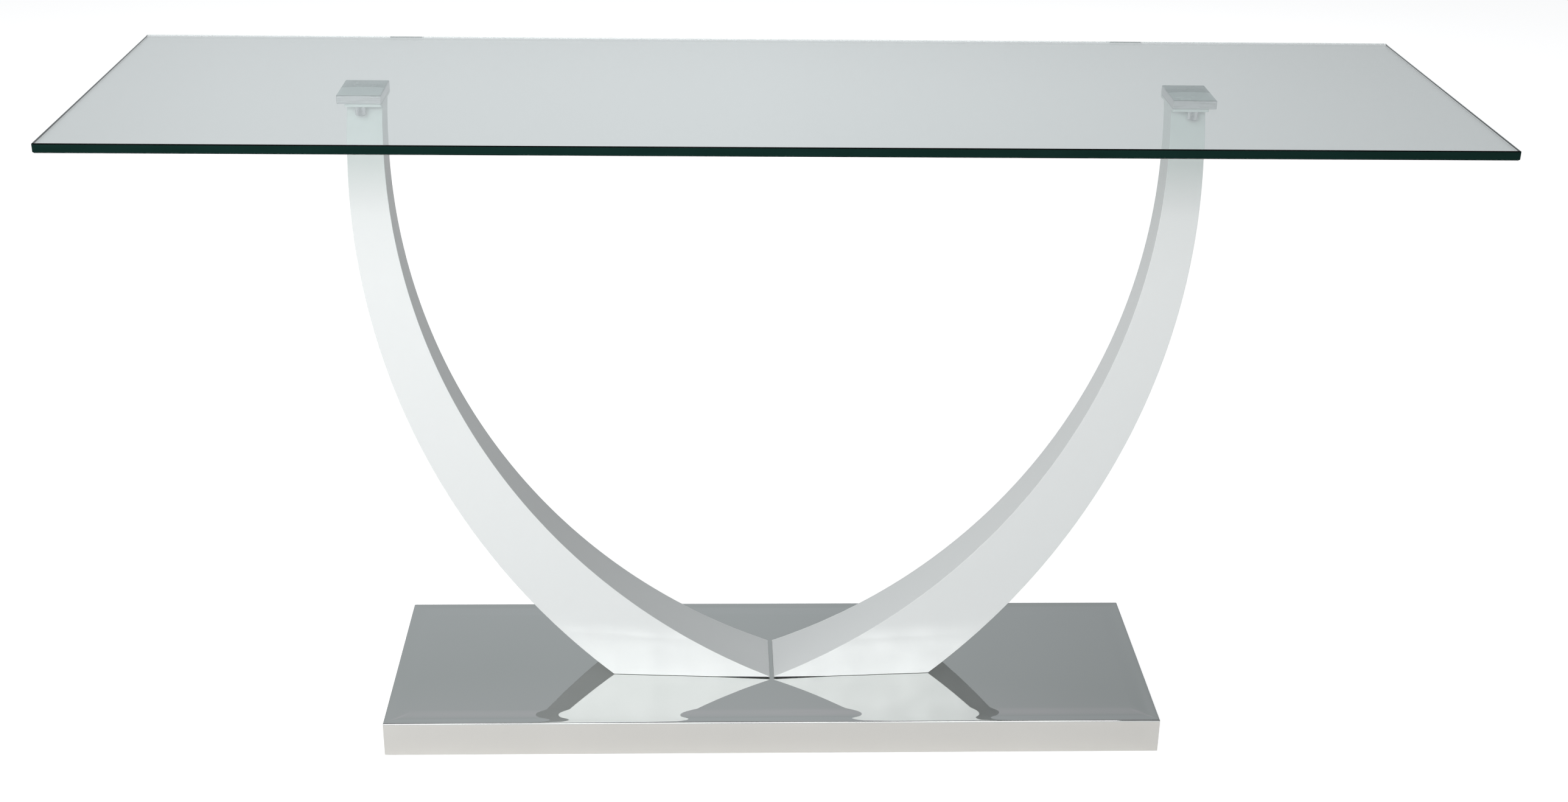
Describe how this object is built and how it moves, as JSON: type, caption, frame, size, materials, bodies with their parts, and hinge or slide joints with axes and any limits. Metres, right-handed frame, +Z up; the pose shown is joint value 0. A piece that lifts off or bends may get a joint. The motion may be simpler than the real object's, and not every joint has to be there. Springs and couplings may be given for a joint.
{
  "type": "console table",
  "caption": "Long narrow table with a clear glass top on curved white hollow legs that meet in a V on a low mirror-polished base.",
  "frame": {"origin": "on the floor, under the middle of the table", "axes": "+X along the table to its right, +Y to the back, +Z up"},
  "size_m": [1.47, 0.45, 0.76],
  "materials": {
    "clear_glass": "clear polished plate with green edges",
    "white_lacquer": "high-gloss white lacquer",
    "mirror_steel": "mirror-polished stainless steel",
    "brushed_metal": "satin brushed",
    "screw_steel": "bright plated",
    "plain_steel": "black primer on steel plate",
    "core_board": "medium-density board",
    "black_rubber": "black moulded rubber",
    "clear_bond": "clear cured adhesive film"
  },
  "bodies": {
    "root": {"glass_top": "clear_glass", "base_cover": "mirror_steel", "base_ballast_plate": "plain_steel", "base_core": "core_board", "base_bottom_plate": "plain_steel", "bottom_plate_screws": "screw_steel", "base_glides": "black_rubber", "left_block_bond": "clear_bond", "left_glass_block": "brushed_metal", "left_block_screws": "screw_steel", "left_top_plate": "white_lacquer", "left_leg_front_panel": "white_lacquer", "left_leg_back_panel": "white_lacquer", "left_leg_outer_band": "white_lacquer", "left_leg_inner_band": "white_lacquer", "left_foot_plate": "plain_steel", "left_foot_gasket": "black_rubber", "left_base_bolts": "screw_steel", "left_base_washers": "screw_steel", "right_block_bond": "clear_bond", "right_glass_block": "brushed_metal", "right_block_screws": "screw_steel", "right_top_plate": "white_lacquer", "right_leg_front_panel": "white_lacquer", "right_leg_back_panel": "white_lacquer", "right_leg_outer_band": "white_lacquer", "right_leg_inner_band": "white_lacquer", "right_foot_plate": "plain_steel", "right_foot_gasket": "black_rubber", "right_base_bolts": "screw_steel", "right_base_washers": "screw_steel"}
  },
  "joints": []
}
